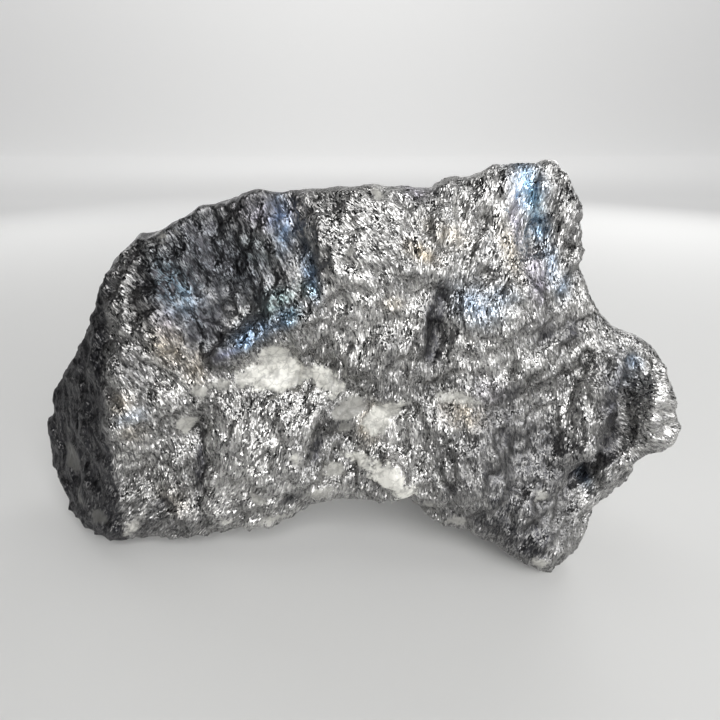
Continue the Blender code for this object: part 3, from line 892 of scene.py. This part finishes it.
def grain_surface(tree, place, tilt):
    """The grains and fibres of the surface: (normal, shade of the coarse grains, of the fine ones, fibre)."""
    angle = attribute(tree, "grain_angle")
    group = grain_group()
    surface = add_node(tree, "NewGeometry").outputs["Normal"]
    normal = surface
    shades = []
    for width, lengthening, lean in reversed(GRAINS):
        size = (width, lengthening, calculate(tree, "MULTIPLY", tilt, lean))
        normal, shade, _ = grains(tree, group, place, angle, normal, size)
        shades.append(shade)
    coarse, fine = shades
    _, _, fibre = grains(tree, group, place, angle, surface, (*FIBRE, 0.0))
    raised = {"Strength": tilt, "Distance": FIBRE_HEIGHT * MM, "Height": fibre, "Normal": normal}
    return add_node(tree, "Bump", raised).outputs[0], coarse, fine, fibre


def shadow(tree, place, fibre):
    """Painted shade in the ore's hollows and between its fibres, and darker clumps at random: how bright the
    ore is there, beside 1 elsewhere. It is evened out under the soot and under the shine.
    """
    hollow = ramp(tree, attribute(tree, "ridge"), 0.0, 1.0, HOLLOW_SHADE, 1.0)
    between = ramp(tree, fibre, *FIBRE_RANGE, FIBRE_SHADE, 1.0)
    clump = ramp(tree, fractal(tree, place, *CLUMP), *CLUMP_RANGE, CLUMP_SHADE, 1.0)
    shade = calculate(tree, "MULTIPLY", clump, calculate(tree, "MULTIPLY", hollow, between))
    soot_and_shade_evenness = calculate(tree, "MULTIPLY", attribute(tree, "soot_and_painted_shade"), SOOT_AND_SHADE_EVENNESS)
    shine_and_light_evenness = calculate(tree, "MULTIPLY", attribute(tree, "shine_and_painted_light"), SHINE_AND_LIGHT_EVENNESS)
    even = calculate(tree, "MAXIMUM", shine_and_light_evenness, soot_and_shade_evenness)
    missing = calculate(tree, "SUBTRACT", 1.0, shade)
    return calculate(tree, "MULTIPLY_ADD", even, missing, shade)


def ore_colour(tree, place, grain_shade, fibre):
    """Dull and bright grains with painted shade in their hollows and between their fibres, then the
    tarnishes, then the soot and painted shade.
    """
    weighed = calculate(tree, "MULTIPLY", grain_shade, GRAIN_WEIGHT)
    brightness = calculate(tree, "MULTIPLY_ADD", fractal(tree, place, *MOTTLE), MOTTLE_WEIGHT, weighed)
    colour = blend_colours(tree, ramp(tree, brightness, *BRIGHTNESS_RANGE), ORE_DULL, ORE_BRIGHT)
    colour = combine(tree, "SCALE", colour, scale=shadow(tree, place, fibre))
    uneven = ramp(tree, fractal(tree, place, *STAIN_NOISE), *STAIN_RANGE, *STAIN_STRENGTH)
    for name, _, _, tint in TARNISHES:
        share = calculate(tree, "MULTIPLY", attribute(tree, name), uneven)
        colour = blend_colours(tree, share, colour, combine(tree, "MULTIPLY", colour, tint))
    hold = ramp(tree, grain_shade, *SOOT_AND_SHADE_GRAINS, *SOOT_AND_SHADE_STRENGTH)
    share = calculate(tree, "MULTIPLY", attribute(tree, "soot_and_painted_shade"), hold)
    return blend_colours(tree, share, colour, SOOT_AND_PAINTED_SHADE)


def quartz_colour(tree, place):
    """Milky white to grey, darker in its cracks, and smoky and darker under soot and painted shade."""
    milk = ramp(tree, fractal(tree, place, *MILK), *MILK_RANGE, *MILK_WHITENESS)
    whiteness = calculate(tree, "MULTIPLY", attribute(tree, "quartz_strength"), milk)
    cracked = ramp(tree, crack_distance(tree, place), 0.0, CRACK_WIDTH, CRACK_SHADE, 1.0)
    whiteness = calculate(tree, "MULTIPLY", whiteness, cracked)
    colour = blend_colours(tree, whiteness, QUARTZ_GREY, QUARTZ_WHITE)
    smoky = ramp(tree, attribute(tree, "soot_and_painted_shade"), *SMOKY_SOOT_AND_SHADE, 1.0, SMOKY_SHADE)
    return combine(tree, "SCALE", colour, scale=smoky)


def stone_roughness(tree, quartz, coarse_shade):
    """Each coarse grain has a roughness of its own, soot adds to it, and the quartz has one roughness."""
    rough = ramp(tree, coarse_shade, 0.0, 1.0, *ORE_ROUGHNESS)
    rough = calculate(tree, "MULTIPLY_ADD", attribute(tree, "soot_and_painted_shade"), SOOT_AND_SHADE_ROUGHNESS, rough)
    return ramp(tree, quartz, 0.0, 1.0, rough, QUARTZ_ROUGHNESS)


def stone_material():
    """Grains of ore with tarnish, soot and painted shade, and shine and painted light on them, and quartz
    between.
    """
    material = bpy.data.materials.new("hackly_ore")
    material.use_nodes = True
    tree = material.node_tree
    shader = tree.nodes["Principled BSDF"]
    place = add_node(tree, "TexCoord").outputs["Object"]
    quartz = quartz_mask(tree, place)
    normal, coarse, fine, fibre = grain_surface(tree, place, grain_tilt(tree, quartz))
    weighed = calculate(tree, "MULTIPLY", coarse, COARSE_WEIGHT)
    grain_shade = calculate(tree, "MULTIPLY_ADD", fine, FINE_WEIGHT, weighed)
    ore = ore_colour(tree, place, grain_shade, fibre)
    colour = blend_colours(tree, quartz, ore, quartz_colour(tree, place))
    tree.links.new(colour, shader.inputs["Base Color"])
    tree.links.new(stone_roughness(tree, quartz, coarse), shader.inputs["Roughness"])
    tree.links.new(calculate(tree, "SUBTRACT", 1.0, quartz), shader.inputs["Metallic"])
    tree.links.new(normal, shader.inputs["Normal"])
    return material


def floor_mesh():
    """A flat sheet whose far edge bends up into a wall."""
    bm = bmesh.new()
    bmesh.ops.create_grid(bm, x_segments=1, y_segments=1, size=FLOOR_HALF)
    far = [edge for edge in bm.edges if all(v.co.y > 0.0 for v in edge.verts)]
    bend = bmesh.ops.spin(
        bm,
        geom=far + [v for edge in far for v in edge.verts],
        cent=(0.0, FLOOR_HALF, BACKDROP_BEND),
        axis=(1.0, 0.0, 0.0),
        angle=math.pi / 2.0,
        steps=BEND_STEPS,
        use_merge=False,
    )
    top = [item for item in bend["geom_last"] if isinstance(item, bmesh.types.BMEdge)]
    wall = bmesh.ops.extrude_edge_only(bm, edges=top)
    rising = [item for item in wall["geom"] if isinstance(item, bmesh.types.BMVert)]
    bmesh.ops.translate(bm, verts=rising, vec=(0.0, 0.0, BACKDROP_HEIGHT))
    mesh = bpy.data.meshes.new("floor")
    bm.to_mesh(mesh)
    bm.free()
    mesh.shade_smooth()
    return mesh


def floor_material():
    """Pale and dull, with a glow that rises towards the wall."""
    material = bpy.data.materials.new("pale_floor")
    material.use_nodes = True
    tree = material.node_tree
    shader = tree.nodes["Principled BSDF"]
    shader.inputs["Base Color"].default_value = BACKDROP_SHADE
    shader.inputs["Roughness"].default_value = FLOOR_ROUGHNESS
    shader.inputs["Emission Strength"].default_value = 1.0
    place = add_node(tree, "TexCoord").outputs["Object"]
    depth = add_node(tree, "SeparateXYZ", {0: place}).outputs["Y"]
    glow = ramp(tree, depth, *BACKDROP_GLOW_RISE, *BACKDROP_GLOW)
    tree.links.new(glow, shader.inputs["Emission Color"])
    return material


def floor_and_backdrop():
    """A plain pale floor that bends up into a wall behind the stone."""
    floor = object_from(floor_mesh(), "floor")
    floor.data.materials.append(floor_material())


def aim(obj, target):
    """Turns a lamp so that it shines at the target."""
    obj.rotation_euler = (Vector(target) - obj.location).to_track_quat("-Z", "Y").to_euler()


def studio_lights():
    """Large soft lamps, and a little light from all round."""
    for name, place, target, size, watts in LIGHTS:
        data = bpy.data.lights.new(name, "AREA")
        data.size = size * MM
        data.energy = watts
        lamp = object_from(data, name)
        lamp.location = Vector(place) * MM
        aim(lamp, Vector(target) * MM)
    world = bpy.data.worlds.new("room")
    bpy.context.scene.world = world
    world.use_nodes = True
    background = world.node_tree.nodes["Background"]
    background.inputs["Color"].default_value = (1.0, 1.0, 1.0, 1.0)
    background.inputs["Strength"].default_value = ROOM_LIGHT


def camera():
    """The camera, level from side to side, near the stone and looking down at it."""
    data = bpy.data.cameras.new("camera")
    data.lens = CAMERA_LENS
    data.clip_start = CAMERA_NEAR * MM
    obj = object_from(data, "camera")
    obj.location = Vector(CAMERA_PLACE) * MM
    obj.rotation_euler = (math.radians(90.0 - CAMERA_DOWN), 0.0, 0.0)
    bpy.context.scene.camera = obj


stone = stone_piece()
stone.data.materials.clear()
stone.data.materials.append(stone_material())
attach(stone, "root")
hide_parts(STONE)
floor_and_backdrop()
studio_lights()
camera()
bpy.context.scene.view_settings.view_transform = "Standard"
